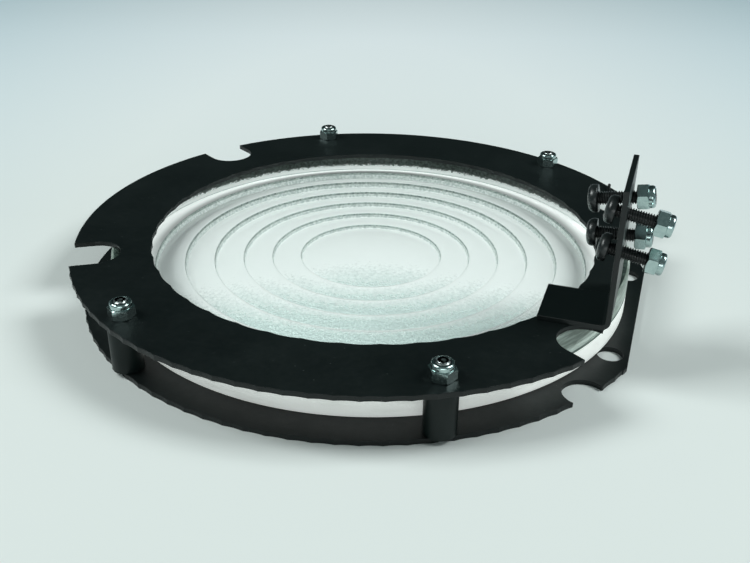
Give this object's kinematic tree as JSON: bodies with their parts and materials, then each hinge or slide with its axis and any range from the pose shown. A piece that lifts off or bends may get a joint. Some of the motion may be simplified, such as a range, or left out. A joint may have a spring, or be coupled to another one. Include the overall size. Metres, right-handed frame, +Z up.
{
  "type": "fresnel lens in ring holder",
  "caption": "Round stepped Fresnel lens held between two flat black sheet rings with spacer sleeves, rim notches and a small screwed angle bracket.",
  "frame": {"origin": "centre of the round opening of the lower ring, on that ring's underside, which is the face the part rests on", "axes": "+Z up along the ring axis, towards the stepped side of the lens; +X out through the flat side of both rings, where the bracket stands; +Y to the left of +X seen from above"},
  "size_m": [0.1991, 0.2024, 0.0613],
  "materials": {
    "ring_steel": "satin black painted sheet steel",
    "lens_glass": "pressed clear glass, stippled flat side",
    "sleeve_black": "smooth satin black",
    "stud_steel": "zinc plated, threaded",
    "nut_zinc": "bright zinc plate",
    "nut_insert": "dark nylon",
    "screw_black": "black oxide, threaded"
  },
  "bodies": {
    "root": {"lower_ring": "ring_steel", "upper_ring": "ring_steel", "fresnel_lens": "lens_glass", "spacer_front_right": "sleeve_black", "spacer_front_left": "sleeve_black", "spacer_rear_right": "sleeve_black", "spacer_rear_left": "sleeve_black", "clamp_studs": "stud_steel", "clamp_nuts": "nut_zinc", "clamp_nut_inserts": "nut_insert", "bracket": "ring_steel", "bracket_screws": "screw_black", "bracket_nuts": "nut_zinc", "bracket_nut_inserts": "nut_insert", "rim_pin": "screw_black"}
  },
  "joints": []
}
